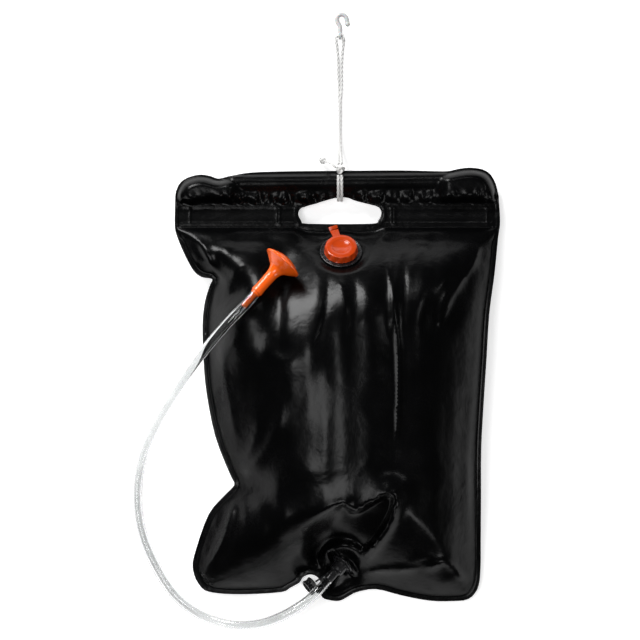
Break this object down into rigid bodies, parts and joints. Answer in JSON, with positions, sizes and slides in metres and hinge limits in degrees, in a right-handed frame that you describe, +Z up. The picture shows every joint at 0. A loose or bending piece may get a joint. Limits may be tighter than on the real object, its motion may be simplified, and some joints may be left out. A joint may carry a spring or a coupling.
{
  "type": "camp shower bag",
  "caption": "Flat welded film water bag with a tube handle, a wide capped filler, a hose to a pull-open shower head, and a line with a hook to hang it by.",
  "frame": {"origin": "middle of the bag's outline, on the floor under its back sheet", "axes": "+Z up out of the bag's front, +Y towards the handle and the hanging line, +X towards the bag's right edge"},
  "size_m": [0.4495, 0.7542, 0.1151],
  "materials": {
    "black_film": "glossy PVC film",
    "black_plastic": "glossy",
    "grey_plastic": "satin",
    "orange_plastic": "glossy",
    "clear_hose": "clear soft PVC",
    "white_cord": "twisted cord",
    "white_plastic": "satin, slightly see-through",
    "seal_rubber": "matte"
  },
  "bodies": {
    "bag": {"front_panel": "black_film", "back_panel": "black_film", "handle_tube": "grey_plastic", "filler_flange": "black_plastic", "cap_strap_root": "orange_plastic", "outlet_fitting": "black_plastic", "stopper_tether": "black_plastic", "hose": "clear_hose", "head_stem": "orange_plastic", "head_seal": "seal_rubber", "sleeve_loop_left": "white_cord", "sleeve_loop_right": "white_cord", "line_knot": "white_cord", "line_tail": "white_cord", "hanging_line": "white_cord"},
    "cap": {"filler_cap": "orange_plastic"},
    "stopper": {"outlet_stopper": "black_plastic"},
    "sprayer": {"head_body": "orange_plastic", "head_rose": "orange_plastic"},
    "hook": {"line_hook": "white_plastic"}
  },
  "joints": [
    {"name": "cap_swing", "type": "hinge", "parent": "bag", "child": "cap", "pos_m": [-0.00427, 0.18941, 0.03103], "axis": [-0.9744, -0.1672, 0.1505], "range_deg": [0, 55]},
    {"name": "head_pull", "type": "slide", "parent": "bag", "child": "sprayer", "axis": [0.6525, 0.7376, -0.1736], "range_m": [0, 0.008]},
    {"name": "stopper_swing", "type": "hinge", "parent": "bag", "child": "stopper", "pos_m": [-0.02642, -0.24047, 0.01511], "axis": [-0.6018, 0.7987, 0], "range_deg": [0, 50]},
    {"name": "hook_swing", "type": "hinge", "parent": "bag", "child": "hook", "pos_m": [0.00318, 0.4268, 0.0048], "axis": [1, 0, 0], "range_deg": [0, 120]}
  ]
}
